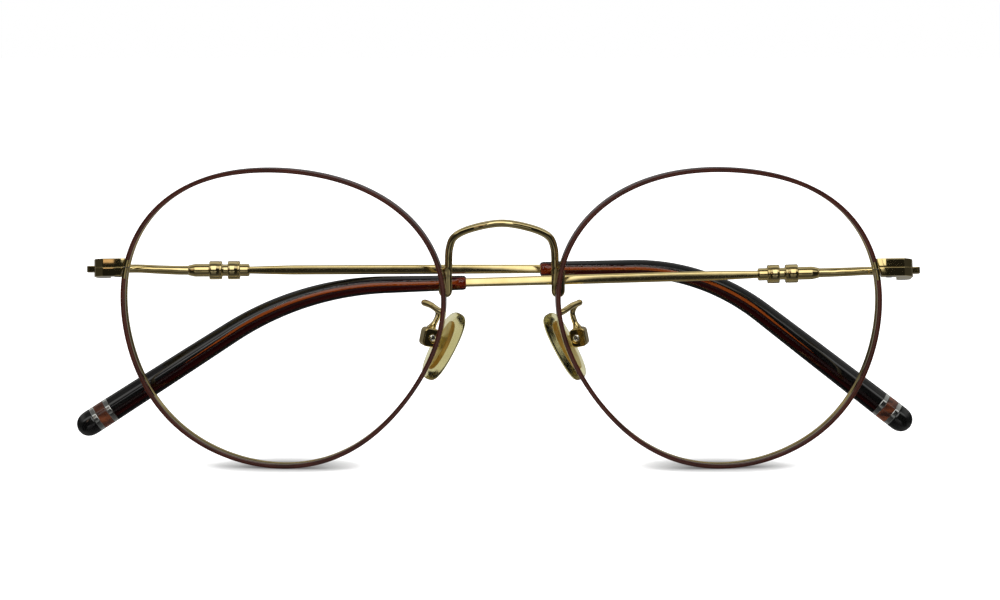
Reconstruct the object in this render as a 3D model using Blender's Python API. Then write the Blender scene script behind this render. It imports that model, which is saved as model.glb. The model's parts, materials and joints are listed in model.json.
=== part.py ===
"""Round metal full-rim eyeglasses frame with its temples folded, as separate named pieces.

Metres, +Z up, the wearer's left at +X, the front facing -Y. The frame stands on the bottoms of its
rims at Z = 0. Sizes below are in millimetres and degrees. Every side piece is drawn in a local frame
whose x axis points towards the nose, whose z axis points up and whose y axis points back on the right
side; the left side mirrors y.
"""

import math

import bmesh
import bpy
import numpy as np
from mathutils import Matrix, Vector

MM = 0.001

# The frame as a whole
FRONT_Y = -9.8          # nasal edge of the rims' front face, so that the origin is midway in depth
GAP = 0.04              # left between touching pieces
SIDES = {"right": -1, "left": 1}

# Rims: radius of the outer edge from the boxing centre, every 30 degrees from the nasal side upwards
RIM_CENTRE = (35.5, 2.44, 25.1)
RIM_RADII = {
    "right": (26.25, 26.95, 25.2, 24.45, 26.35, 28.05, 27.1, 26.4, 25.7, 25.1, 24.5, 24.4),
    "left": (26.45, 27.65, 26.0, 24.6, 25.85, 27.6, 27.0, 26.45, 25.75, 25.1, 24.5, 24.45),
}
RIM_WRAP = 5.3
RIM_WALL = 0.75
RIM_DEPTH = 2.2
RIM_EDGE = 0.12
GROOVE_DEPTH = 0.35
GROOVE_WIDTH = 0.7
RIM_STATIONS = 64
# Where the rim wire's ends meet, between the halves of the end piece
SPLIT_ANGLE = {"right": 163.0, "left": 163.5}
SPLIT_GAP = 0.3

# Bridge: centre line of one half in X and Z, then the foot behind the rim
BRIDGE_HALF = ((0.0, 40.78), (4.5, 40.0), (7.5, 38.6), (8.5, 36.6), (8.7, 33.5))
BRIDGE_RADIUS = 0.62
BRIDGE_CROWN_Y = 1.5
BRIDGE_LEG_Y = 2.95
FOOT_X = 9.2
FOOT_TOP = 33.25
FOOT_BOTTOM = 28.5
FOOT_HALF = (1.1, 0.45)
# Height above the foot's lower end, share of its width there
FOOT_TAPER = ((0.0, 0.35), (0.12, 0.62), (0.4, 0.85), (0.95, 1.0))
BRIDGE_STEPS = 7

# Hinges: point on the axis, lean of the axis towards the back, sideways tilt of the folding plane
# (up positive), backward angle of the folded temple
HINGE = {"right": (66.2, 11.5, 32.0), "left": (66.8, 11.5, 31.73)}
HINGE_LEAN = {"right": 10.2, "left": 13.8}
FOLD_TILT = {"right": 0.44, "left": -1.35}
FOLD_BACK = {"right": 4.0, "left": 2.2}
BARREL_RADIUS = 1.2
BORE_RADIUS = 0.55
HINGE_SCREW_RADIUS = 0.5
SCREW_HEAD_RADIUS = 0.85
HEAD_DEPTH = 0.45
HALF_HEIGHT = 1.46
MIDDLE_HALF = 0.53
HEEL_REACH = 2.75
HEEL_HALF_WIDTH = 0.95
HEEL_CHAMFER = 0.45
STUB_HALF = 0.72
WEB_X = (-1.05, 1.6)
WEB_BACK = -2.82
WEB_FRONT = -3.5

# End piece in plan, from the hinge axis: x towards the nose, y to the back
END_ROOM = 0.05
END_FRONT_Y = -6.35
END_OUTER_X = 0.7
CHAMFER = 1.35
LOCK_SCREW_XY = (3.1, -4.9)
LOCK_SCREW_RADIUS = 0.45
LOCK_HEAD_RADIUS = 0.72
FRONT_RISE = 0.2        # how much further back the front face is at its outer end
LOCK_ROOM = 0.05
SLANT = 0.25            # how far the inner face follows the rim, per millimetre of height

# Nose pads: screw axis, then lean and splay of the pad
PAD_SCREW_AT = {"right": (11.7, 8.3, 21.05), "left": (12.55, 8.3, 21.05)}
PAD_LEAN = 28.5
PAD_SPLAY = {"right": 19.0, "left": 14.0}
PAD_CENTRE = (2.6, -0.4)
PAD_HALF_LENGTH = 6.1
PAD_HALF_WIDTH = 3.75
PAD_LAYERS = ((-1.15, 0.70), (-0.95, 0.88), (-0.35, 1.0), (0.3, 1.0), (0.9, 0.9), (1.2, 0.68))
PAD_POINTS = 24
CORE_HALF = (1.9, 4.3)
CORE_FACES = (2.37, 2.83)
LUG_HALF = (0.45, 1.0)
LUG_OVERLAP = 0.2
BOX_X = (-1.6, 1.0)
BOX_HALF = (1.2, 1.5)
BOX_CHAMFER = 0.4
SLOT_X = -1.12
SLOT_HALF = (0.51, 1.33)
PAD_SCREW_RADIUS = 0.4
PAD_BORE_RADIUS = 0.45
PAD_HEAD_RADIUS = 0.72
PAD_HEAD_Y = -0.78

# Pad arm: centre line from the rim to the pad box, outwards, back and up, and the share of the side's
# own shift
ARM_PATH = (
    (9.4, 2.95, 25.8, 0.0), (10.35, 3.5, 26.25, 0.0), (11.6, 5.0, 26.85, 0.0), (12.75, 6.5, 27.05, 0.0),
    (12.65, 7.7, 26.9, 0.2), (11.95, 8.5, 26.2, 0.7), (11.5, 8.7, 25.2, 1.0), (11.65, 8.55, 24.2, 1.0),
)
ARM_SHIFT = {"right": -0.9, "left": 0.25}
ARM_RADIUS = 0.5
NECK_RADIUS = 0.38
NECK_FROM = 0.6         # share of the path after which the wire is the thin neck
NECK_X = -0.35
ARM_STEPS = 3

# Temples: distances along the temple from the hinge axis, then half sizes or radii
STUB_END = 2.3
SHANK = (
    (2.34, 0.0, 0.55), (2.8, 0.03, 0.68), (4.4, 0.1, 0.71), (6.2, 0.13, 0.71), (9.0, 0.06, 0.73),
    (12.0, 0.01, 0.76),
    (13.96, 0.0, 0.77),
)    # distance from the hinge, rise above the straight line and radius
DROP = {"right": 0.245, "left": -0.065}    # height of the hinge above the rest of its temple
SLEEVE = ((14.0, 0.85), (15.1, 1.08), (17.43, 1.08))
COLLAR_FRONT = ((17.47, 1.3), (17.73, 1.55), (19.33, 1.55), (19.59, 1.3), (19.63, 1.0), (20.49, 1.0))
COLLAR_REAR = ((20.53, 1.3), (20.79, 1.55), (22.33, 1.55), (22.59, 1.3), (22.63, 1.05), (24.13, 1.05))
BAR_START = 24.17
BAR_HALF = (
    (24.17, 0.6, 0.47), (27.5, 0.7, 0.47), (31.0, 0.79, 0.47), (58.0, 0.79, 0.47),
    (72.8, 0.72, 0.46), (92.0, 0.66, 0.42),
    (136.2, 0.5, 0.35),
)
BAR_CHAMFER = 0.18
BAR_ROOM = 0.05
TIP_START = 72.8
TIP_END = 137.7
BORE_END = 136.4
TIP_HALF = (
    (72.8, 0.9, 0.8), (73.1, 1.14, 0.98), (73.7, 1.25, 1.05), (82.0, 1.38, 1.1),
    (92.0, 1.54, 1.15), (102.0, 1.66, 1.21),
    (122.0, 1.94, 1.32), (138.0, 2.09, 1.41), (144.4, 2.12, 1.45),
)
TIP_CHAMFER = 0.42      # share of the half width
BENDS = {"right": (88.4, 36.0, 37.8), "left": (86.4, 50.0, 31.4)}    # start, radius, angle
TRIM = {"right": -0.35, "left": -0.3}    # what each fitted tip is longer than its nominal length
BEND_STATIONS = 8
RINGS = {"ring_inner": (137.74, 138.5), "spacer": (138.54, 140.3), "ring_outer": (140.34, 141.1)}
CAP = ((141.14, 1.0), (142.6, 0.97), (143.6, 0.8), (144.2, 0.5), (144.4, 0.22))
TURNED_SIDES = 20

MATERIALS = {
    "gold": ((0.72, 0.55, 0.22), 1.0, 0.18),
    "rim_enamel": ((0.055, 0.009, 0.006), 0.1, 0.25),
    "screw_steel": ((0.7, 0.68, 0.6), 1.0, 0.25),
    "pad_clear": ((0.62, 0.58, 0.38), 0.0, 0.2),
    "pad_core": ((0.45, 0.2, 0.04), 0.8, 0.3),
    "acetate": ((0.06, 0.012, 0.008), 0.0, 0.12),
    "silver": ((0.8, 0.8, 0.78), 1.0, 0.2),
    "spacer_brown": ((0.12, 0.03, 0.015), 0.0, 0.15),
    "cap_black": ((0.01, 0.01, 0.009), 0.0, 0.12),
}


# Objects and materials

def clear_scene():
    for item in list(bpy.data.objects):
        bpy.data.objects.remove(item, do_unlink=True)


def material(name):
    found = bpy.data.materials.get(name)
    if found:
        return found
    colour, metallic, roughness = MATERIALS[name]
    made = bpy.data.materials.new(name)
    made.use_nodes = True
    shader = made.node_tree.nodes["Principled BSDF"]
    shader.inputs["Base Color"].default_value = (*colour, 1.0)
    shader.inputs["Metallic"].default_value = metallic
    shader.inputs["Roughness"].default_value = roughness
    return made


def add_frame(name, origin, x_axis, z_axis):
    """An empty at origin, in millimetres behind the front, with the given x and z axes."""
    x = Vector(x_axis).normalized()
    z = Vector(z_axis).normalized()
    empty = bpy.data.objects.new(name, None)
    place = Vector(origin) + Vector((0.0, FRONT_Y, 0.0))
    empty.matrix_world = Matrix.Translation(place * MM) @ Matrix((x, z.cross(x), z)).transposed().to_4x4()
    bpy.context.scene.collection.objects.link(empty)
    return empty


def add_solid(name, shape, finish, parent, flip=(1, 1)):
    """A closed mesh from (points, faces) in the parent's frame; flip mirrors its x and y."""
    points, faces = shape
    mesh = bpy.data.meshes.new(name)
    mesh.from_pydata([(x * flip[0] * MM, y * flip[1] * MM, z * MM) for x, y, z in points], [], faces)
    shaped = bmesh.new()
    shaped.from_mesh(mesh)
    bmesh.ops.recalc_face_normals(shaped, faces=shaped.faces)
    shaped.to_mesh(mesh)
    shaped.free()
    mesh.shade_smooth()
    mesh.set_sharp_from_angle(angle=math.radians(35))
    solid = bpy.data.objects.new(name, mesh)
    mesh.materials.append(material(finish))
    bpy.context.scene.collection.objects.link(solid)
    solid.parent = parent
    return solid


def combine(solid, shape, operation, flip=(1, 1)):
    """Cuts shape from the solid, or joins it on, in the solid's own frame."""
    tool = add_solid("tool", shape, "gold", solid.parent, flip)
    modifier = solid.modifiers.new("combine", "BOOLEAN")
    modifier.operation = operation
    modifier.object = tool
    bpy.context.view_layer.update()
    evaluated = solid.evaluated_get(bpy.context.evaluated_depsgraph_get())
    mesh = bpy.data.meshes.new_from_object(evaluated)
    solid.modifiers.clear()
    solid.data = mesh
    bpy.data.objects.remove(tool, do_unlink=True)


# Shapes, as (points, faces) in millimetres

def loft(rings):
    """Rings of equal length, skinned and capped at both ends."""
    count = len(rings[0])
    points = [tuple(p) for ring in rings for p in ring]
    faces = []
    for k in range(len(rings) - 1):
        for i in range(count):
            j = (i + 1) % count
            faces.append((k * count + i, k * count + j, (k + 1) * count + j, (k + 1) * count + i))
    faces.append(tuple(range(count))[::-1])
    faces.append(tuple(range((len(rings) - 1) * count, len(rings) * count)))
    return points, faces


def circle(radius, sides=TURNED_SIDES):
    return [
        (radius * math.cos(2 * math.pi * i / sides), radius * math.sin(2 * math.pi * i / sides))
        for i in range(sides)
    ]


def turned(profile, axis="x", centre=(0.0, 0.0), sides=TURNED_SIDES):
    """A solid of revolution about an axis parallel to x, y or z, from (position, radius) pairs."""
    rings = []
    for position, radius in profile:
        ring = []
        for a, b in circle(radius, sides):
            a, b = a + centre[0], b + centre[1]
            ring.append({"x": (position, a, b), "y": (a, position, b), "z": (a, b, position)}[axis])
        rings.append(ring)
    return loft(rings)


def prism(outline, low, high, slant=0.0):
    """A plan outline between two heights; slant moves points that carry a flag along x with height."""
    rings = []
    for height in (low, high):
        rings.append([(p[0] + (slant * height if len(p) > 2 else 0.0), p[1], height) for p in outline])
    return loft(rings)


def block(low, high):
    corners = [(low[0], low[1]), (high[0], low[1]), (high[0], high[1]), (low[0], high[1])]
    return prism(corners, low[2], high[2])


def chamfered(half_a, half_b, cut):
    """An eight-cornered rectangle."""
    return [
        (half_a, -half_b + cut), (half_a, half_b - cut), (half_a - cut, half_b), (-half_a + cut, half_b),
        (-half_a, half_b - cut), (-half_a, -half_b + cut), (-half_a + cut, -half_b),
        (half_a - cut, -half_b),
    ]


def smooth_path(points, steps):
    """A Catmull-Rom curve through the points, with the given steps between each pair."""
    pts = [np.array(p, float) for p in points]
    pts = [2 * pts[0] - pts[1]] + pts + [2 * pts[-1] - pts[-2]]
    path = []
    for a, b, c, d in zip(pts, pts[1:], pts[2:], pts[3:]):
        for k in range(steps):
            t = k / steps
            path.append(0.5 * (2 * b + (c - a) * t + (2 * a - 5 * b + 4 * c - d) * t**2
                               + (3 * b - a - 3 * c + d) * t**3))
    path.append(pts[-2])
    return path


def wire(path, radii, sides=12):
    """A round wire along a path, its rings turned as little as possible from one to the next."""
    rings = []
    side = np.array((0.0, 1.0, 0.0))
    for k, point in enumerate(path):
        ahead = path[min(k + 1, len(path) - 1)] - path[max(k - 1, 0)]
        ahead = ahead / np.linalg.norm(ahead)
        side = side - ahead * (side @ ahead)
        side = side / np.linalg.norm(side)
        up = np.cross(ahead, side)
        rings.append([point + side * a + up * b for a, b in circle(radii[k], sides)])
    return loft(rings)


# Rims and bridge

def rim_point(name, angle):
    """Point of the smooth closed curve through a side's radii, by trigonometric interpolation."""
    radii = RIM_RADII[name]
    terms = np.fft.rfft(radii) / len(radii)
    radius = terms[0].real
    for k in range(1, len(terms)):
        share = 1.0 if 2 * k == len(radii) else 2.0
        radius += share * (terms[k].real * math.cos(k * angle) - terms[k].imag * math.sin(k * angle))
    return np.array((radius * math.cos(angle), radius * math.sin(angle)))


def rim_section():
    """Inward distance from the outer edge and depth: a flat wire with a lens groove inside."""
    middle = RIM_DEPTH / 2
    inner = RIM_WALL
    return [
        (RIM_EDGE, 0.0), (0.0, RIM_EDGE), (0.0, RIM_DEPTH - RIM_EDGE), (RIM_EDGE, RIM_DEPTH),
        (inner - RIM_EDGE, RIM_DEPTH), (inner, RIM_DEPTH - RIM_EDGE), (inner, middle + GROOVE_WIDTH / 2),
        (inner - GROOVE_DEPTH, middle), (inner, middle - GROOVE_WIDTH / 2), (inner, RIM_EDGE),
        (inner - RIM_EDGE, 0.0),
    ]


def rim(name):
    rings = []
    start = math.radians(SPLIT_ANGLE[name] + SPLIT_GAP / 2)
    sweep = math.radians(360 - SPLIT_GAP)
    small = 1e-4
    for k in range(RIM_STATIONS + 1):
        angle = start + sweep * k / RIM_STATIONS
        edge = rim_point(name, angle)
        along = rim_point(name, angle + small) - rim_point(name, angle - small)
        inward = np.array((-along[1], along[0])) / np.hypot(*along)
        rings.append([
            (edge[0] + inward[0] * depth_in, back, edge[1] + inward[1] * depth_in)
            for depth_in, back in rim_section()
        ])
    return loft(rings)


def foot_rings(side):
    """Rings of one foot, from its rounded lower end up to the step below the leg."""
    rings = []
    half_x, half_y = FOOT_HALF
    for rise, share in FOOT_TAPER + ((FOOT_TOP - FOOT_BOTTOM, 1.0),):
        rings.append([
            (side * (FOOT_X - a * half_x * share), BRIDGE_LEG_Y + b * half_y * (0.5 + share / 2),
             FOOT_BOTTOM + rise)
            for a, b in circle(1.0, 12)
        ])
    return rings


def bridge():
    """One wire from foot to foot over the crown, which stands forward of the legs."""
    rise = BRIDGE_LEG_Y - BRIDGE_CROWN_Y
    half = [(x, BRIDGE_CROWN_Y + rise * (x / BRIDGE_HALF[-1][0]) ** 2, z) for x, z in BRIDGE_HALF]
    path = smooth_path([(-x, y, z) for x, y, z in half[:0:-1]] + half, BRIDGE_STEPS)
    rings = foot_rings(-1)
    for k, point in enumerate(path):
        ahead = path[min(k + 1, len(path) - 1)] - path[max(k - 1, 0)]
        ahead = ahead / np.linalg.norm(ahead)
        back = np.array((0.0, 1.0, 0.0))
        back = back - ahead * (back @ ahead)
        back = back / np.linalg.norm(back)
        across = np.cross(back, ahead)
        rings.append([point + across * a + back * b for a, b in circle(BRIDGE_RADIUS, 12)])
    return loft(rings + foot_rings(1)[::-1])


# End piece and hinge, in the hinge frame

def end_outline(name):
    """Plan of the end piece; the points with a flag lean with the rim."""
    edge = rim_point(name, math.radians(SPLIT_ANGLE[name]))[0] * math.cos(math.radians(RIM_WRAP))
    inner = HINGE[name][0] - RIM_CENTRE[0] + edge - END_ROOM
    return [
        (inner, END_FRONT_Y - 0.15, "lean"), (END_OUTER_X, END_FRONT_Y + FRONT_RISE),
        (END_OUTER_X - CHAMFER, END_FRONT_Y + FRONT_RISE + CHAMFER), (WEB_X[0], WEB_FRONT - GAP),
        (WEB_X[1], WEB_FRONT - GAP), (inner - 0.35, WEB_FRONT - 0.5, "lean"),
    ]


def end_piece_half(name, low, high):
    return prism(end_outline(name), low, high, SLANT)


def leaf():
    """Web of the front hinge leaf, against the end piece."""
    return block((WEB_X[0], WEB_FRONT, -HALF_HEIGHT), (WEB_X[1], WEB_BACK, HALF_HEIGHT))


def leaf_arm(low, high):
    """Straight arm from the web whose end is rounded about the hinge axis."""
    turn = [(BARREL_RADIUS * math.cos(a), BARREL_RADIUS * math.sin(a))
            for a in np.linspace(math.pi, 0.0, 13)]
    root = (WEB_FRONT + WEB_BACK) / 2
    return prism(turn + [(BARREL_RADIUS, root), (WEB_X[0] + GAP, root)], low, high)


def heel():
    """Middle barrel with the heel outwards and a stub for the shank inwards."""
    radius = BARREL_RADIUS - GAP
    low = math.asin(STUB_HALF / radius)
    high = math.pi - math.asin(HEEL_HALF_WIDTH / radius)
    back = [(radius * math.cos(a), radius * math.sin(a)) for a in np.linspace(low, high, 7)]
    tab = [(-HEEL_REACH + HEEL_CHAMFER, HEEL_HALF_WIDTH), (-HEEL_REACH, HEEL_HALF_WIDTH - HEEL_CHAMFER)]
    outline = [(STUB_END, STUB_HALF)] + back + tab
    outline += [(x, -y) for x, y in outline[::-1]]
    return prism(outline, -MIDDLE_HALF, MIDDLE_HALF)


def hinge_screw():
    head = HALF_HEIGHT - 0.02
    return turned(
        ((-HALF_HEIGHT + 0.05, HINGE_SCREW_RADIUS), (head - HEAD_DEPTH, HINGE_SCREW_RADIUS),
         (head - 0.08, SCREW_HEAD_RADIUS - 0.06), (head, SCREW_HEAD_RADIUS - 0.14)), "z", sides=16,
    )


def lock_screw():
    bottom = -HALF_HEIGHT - 0.12
    return turned(
        ((bottom, LOCK_HEAD_RADIUS - 0.15), (bottom + 0.12, LOCK_HEAD_RADIUS),
         (bottom + 0.5, LOCK_HEAD_RADIUS), (bottom + 0.52, LOCK_SCREW_RADIUS),
         (HALF_HEIGHT - 0.45, LOCK_SCREW_RADIUS)), "z", LOCK_SCREW_XY, 16,
    )


# Nose pads, in the pad frame whose origin is on the pad screw's axis

def pad_ring(offset, share):
    """Oval outline, a little broader at the upper end."""
    ring = []
    for i in range(PAD_POINTS):
        a = 2 * math.pi * i / PAD_POINTS
        width = PAD_HALF_WIDTH * (1.0 + 0.04 * math.sin(a))
        inset = PAD_HALF_WIDTH * (1.0 - share)
        ring.append((
            PAD_CENTRE[0] + offset,
            math.cos(a) * (width - inset),
            PAD_CENTRE[1] + math.sin(a) * (PAD_HALF_LENGTH - inset),
        ))
    return ring


def core_plate(grow):
    rings = []
    for x in (CORE_FACES[0] - grow, CORE_FACES[1] + grow):
        rings.append([
            (x, a * (CORE_HALF[0] + grow), PAD_CENTRE[1] + b * (CORE_HALF[1] + grow))
            for a, b in circle(1.0, 16)
        ])
    return loft(rings)


def lug(grow, reach):
    """Flat lug from the plate to its rounded end round the screw."""
    thick, radius = LUG_HALF[0] + grow, LUG_HALF[1] + grow
    root = CORE_FACES[0] + LUG_OVERLAP
    outline = [(root, -radius), (root, radius)]
    if reach:
        outline += [(-radius * math.sin(a), radius * math.cos(a)) for a in np.linspace(0.0, math.pi, 9)]
    else:
        outline += [(0.5, radius), (0.5, -radius)]
    return loft([[(x, y, z) for x, z in outline] for y in (-thick, thick)])


def pad_box():
    """Chamfered block that takes the lug."""
    middle = (BOX_X[0] + BOX_X[1]) / 2
    half_x = (BOX_X[1] - BOX_X[0]) / 2
    outline = chamfered(half_x, BOX_HALF[1], BOX_CHAMFER)
    inner = chamfered(half_x - 0.15, BOX_HALF[1] - 0.15, BOX_CHAMFER)
    rings = []
    for y, plan in ((-BOX_HALF[0], inner), (-BOX_HALF[0] + 0.15, outline), (BOX_HALF[0] - 0.15, outline),
                    (BOX_HALF[0], inner)):
        rings.append([(middle + a, y, b) for a, b in plan])
    return loft(rings)


def pad_screw():
    return turned(
        ((PAD_HEAD_Y - 0.34, PAD_HEAD_RADIUS - 0.16), (PAD_HEAD_Y - 0.2, PAD_HEAD_RADIUS - 0.02),
         (PAD_HEAD_Y, PAD_HEAD_RADIUS), (PAD_HEAD_Y + 0.02, PAD_SCREW_RADIUS), (1.1, PAD_SCREW_RADIUS)),
        "y", sides=16,
    )


# Temples, in the temple frame: x along the temple, z along the hinge axis

def shank(drop):
    """Round wire from the stub to the sleeve, which lies lower than the hinge by the drop."""
    start, end = SHANK[0][0], SHANK[-1][0]
    path, radii = [], []
    for distance, rise, radius in SHANK:
        share = (distance - start) / (end - start)
        ease = share * share * (3.0 - 2.0 * share)
        path.append(np.array((distance, 0.0, rise - drop * ease)))
        radii.append(radius)
    return wire(path, radii, TURNED_SIDES)


def temple_point(distance, bend):
    """Point on the temple's centre line and its slope there, for a bend (start, radius, angle)."""
    start, radius, angle = bend[0], bend[1], math.radians(bend[2])
    slope = min(max((distance - start) / radius, 0.0), angle)
    straight = max(distance - start - radius * angle, 0.0)
    x = min(distance, start) + radius * math.sin(slope) + straight * math.cos(slope)
    z = -radius * (1 - math.cos(slope)) - straight * math.sin(slope)
    return x, z, slope


def temple_ring(distance, bend, section):
    """Section points (across, up) set square to the temple's centre line."""
    x, z, slope = temple_point(distance, bend)
    return [(x + up * math.sin(slope), across, z + up * math.cos(slope)) for across, up in section]


def sizes_at(table, distance):
    columns = list(zip(*table))
    return [float(np.interp(distance, columns[0], column)) for column in columns[1:]]


def bar_section(distance, grow=0.0):
    half_up, half_across = sizes_at(BAR_HALF, distance)
    return chamfered(half_across + grow, half_up + grow, BAR_CHAMFER)


def tip_section(distance, share=1.0):
    half_up, half_across = sizes_at(TIP_HALF, distance)
    return chamfered(half_across * share, half_up * share, TIP_CHAMFER * half_across * share)


def stations(low, high, bend, extra=()):
    """Distances from low to high: the ends, what extra names, and the bend's own steps."""
    arc = bend[1] * math.radians(bend[2])
    marks = {low, high, *extra, *(bend[0] + arc * k / BEND_STATIONS for k in range(BEND_STATIONS + 1))}
    return sorted(mark for mark in marks if low <= mark <= high)


def temple_bar(bend):
    marks = stations(BAR_START, BAR_HALF[-1][0], bend, [row[0] for row in BAR_HALF])
    return loft([temple_ring(mark, bend, bar_section(mark)) for mark in marks])


def tip(bend, trim):
    """Tube closed at its far end, round the bar."""
    outer = stations(TIP_START, TIP_END + trim, bend, [row[0] for row in TIP_HALF])
    inner = stations(TIP_START, BORE_END, bend)
    rings = [temple_ring(mark, bend, bar_section(mark, BAR_ROOM)) for mark in inner[::-1]]
    rings += [temple_ring(mark, bend, tip_section(mark)) for mark in outer]
    return loft(rings)


def tip_slice(low, high, bend):
    return loft([temple_ring(mark, bend, tip_section(mark)) for mark in (low, high)])


def tip_cap(bend, trim):
    return loft([temple_ring(mark + trim, bend, tip_section(mark, share)) for mark, share in CAP])


# Frames of each side

def hinge_axes(name):
    """Folding direction towards the nose and the hinge axis, upwards."""
    lean = math.radians(HINGE_LEAN[name])
    tilt = math.radians(FOLD_TILT[name])
    inward = Vector((-SIDES[name], 0.0, 0.0))
    upright = Vector((0.0, math.sin(lean), math.cos(lean)))
    fold = math.cos(tilt) * inward + math.sin(tilt) * upright
    axis = math.cos(tilt) * upright - math.sin(tilt) * inward
    return fold, axis


def hinge_centre(name):
    x, y, z = HINGE[name]
    return Vector((SIDES[name] * x, y, z))


def pad_axes(name):
    """Direction from the screw to the pad, and the pad's long axis, upwards."""
    splay, lean = math.radians(PAD_SPLAY[name]), math.radians(PAD_LEAN)
    level = Vector((-SIDES[name] * math.cos(splay), math.sin(splay), 0.0))
    upright = Vector((0.0, 0.0, 1.0))
    return (math.cos(lean) * level - math.sin(lean) * upright,
            math.cos(lean) * upright + math.sin(lean) * level)


# Assembly

def build_front_side(name, side):
    hand = (1, -side)
    wrap = math.radians(RIM_WRAP)
    centre = (side * RIM_CENTRE[0], RIM_CENTRE[1], RIM_CENTRE[2])
    plane = add_frame(f"rim_plane_{name}", centre, (-side * math.cos(wrap), -math.sin(wrap), 0), (0, 0, 1))
    add_solid(f"rim_{name}", rim(name), "rim_enamel", plane, hand)

    fold, axis = hinge_axes(name)
    hinge = add_frame(f"hinge_{name}", hinge_centre(name), fold, axis)
    upper = add_solid(f"end_piece_{name}", end_piece_half(name, GAP / 2, HALF_HEIGHT), "gold", hinge, hand)
    thread = LOCK_SCREW_RADIUS + LOCK_ROOM
    bore = turned(((-2.0, thread), (HALF_HEIGHT - 0.38, thread)), "z", LOCK_SCREW_XY, 16)
    combine(upper, bore, "DIFFERENCE", hand)
    lower = add_solid(f"lock_{name}", end_piece_half(name, -HALF_HEIGHT, -GAP / 2), "gold", hinge, hand)
    combine(lower, bore, "DIFFERENCE", hand)
    recess = LOCK_HEAD_RADIUS + LOCK_ROOM
    seat = turned(((-2.0, recess), (0.42 - HALF_HEIGHT, recess)), "z", LOCK_SCREW_XY, 16)
    combine(lower, seat, "DIFFERENCE", hand)
    add_solid(f"lock_screw_{name}", lock_screw(), "screw_steel", hinge, hand)

    knuckles = add_solid(f"knuckles_{name}", leaf(), "gold", hinge, hand)
    combine(knuckles, leaf_arm(MIDDLE_HALF + GAP, HALF_HEIGHT - 0.01), "UNION", hand)
    combine(knuckles, leaf_arm(-HALF_HEIGHT + 0.01, -MIDDLE_HALF - GAP), "UNION", hand)
    combine(knuckles, turned(((-2.0, BORE_RADIUS), (2.0, BORE_RADIUS)), "z", sides=16), "DIFFERENCE", hand)
    sink = HALF_HEIGHT - 0.02
    countersink = turned(
        ((sink - HEAD_DEPTH - 0.01, BORE_RADIUS - 0.05), (sink - 0.08, SCREW_HEAD_RADIUS),
         (sink + 0.3, SCREW_HEAD_RADIUS)), "z", sides=16,
    )
    combine(knuckles, countersink, "DIFFERENCE", hand)
    add_solid(f"hinge_screw_{name}", hinge_screw(), "screw_steel", hinge, hand)


def build_pad_side(name, side):
    hand = (1, -side)
    to_pad, long_axis = pad_axes(name)
    x, y, z = PAD_SCREW_AT[name]
    screw_at = (side * x, y, z)
    pivot = add_frame(f"pad_pivot_{name}", screw_at, to_pad, long_axis)

    box = add_solid(f"pad_box_{name}", pad_box(), "gold", pivot, hand)
    slot = block((SLOT_X, -SLOT_HALF[0], -SLOT_HALF[1]), (BOX_X[1] + 1.0, SLOT_HALF[0], SLOT_HALF[1]))
    combine(box, slot, "DIFFERENCE", hand)
    bore = turned(((-3.0, PAD_BORE_RADIUS), (3.0, PAD_BORE_RADIUS)), "y", sides=16)
    combine(box, bore, "DIFFERENCE", hand)
    seat = turned(((-3.0, PAD_HEAD_RADIUS + 0.05), (PAD_HEAD_Y + GAP, PAD_HEAD_RADIUS + 0.05)), "y",
                  sides=16)
    combine(box, seat, "DIFFERENCE", hand)
    add_solid(f"pad_screw_{name}", pad_screw(), "screw_steel", pivot, hand)

    core = add_solid(f"pad_core_{name}", core_plate(0.0), "pad_core", pivot, hand)
    combine(core, lug(0.0, True), "UNION", hand)
    bore = turned(((-2.0, PAD_BORE_RADIUS), (2.0, PAD_BORE_RADIUS)), "y", sides=16)
    combine(core, bore, "DIFFERENCE", hand)
    pad = loft([pad_ring(offset, share) for offset, share in PAD_LAYERS])
    cushion = add_solid(f"nose_pad_{name}", pad, "pad_clear", pivot, hand)
    combine(cushion, core_plate(GAP), "DIFFERENCE", hand)
    combine(cushion, lug(GAP, False), "DIFFERENCE", hand)

    neck_end = pivot.matrix_world @ Vector((NECK_X * MM, 0.0, (BOX_HALF[1] + GAP) * MM))
    end = (side * neck_end.x / MM, neck_end.y / MM - FRONT_Y, neck_end.z / MM)
    points = [(x + share * ARM_SHIFT[name], y, z) for x, y, z, share in ARM_PATH]
    path = smooth_path(points + [end], ARM_STEPS)
    thin_from = len(path) * NECK_FROM
    radii = [ARM_RADIUS if k < thin_from else NECK_RADIUS for k in range(len(path))]
    upright = add_frame(f"arm_{name}", (0, 0, 0), (1, 0, 0), (0, 0, 1))
    add_solid(f"pad_arm_{name}", wire(path, radii, 10), "gold", upright, (side, 1))


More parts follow.
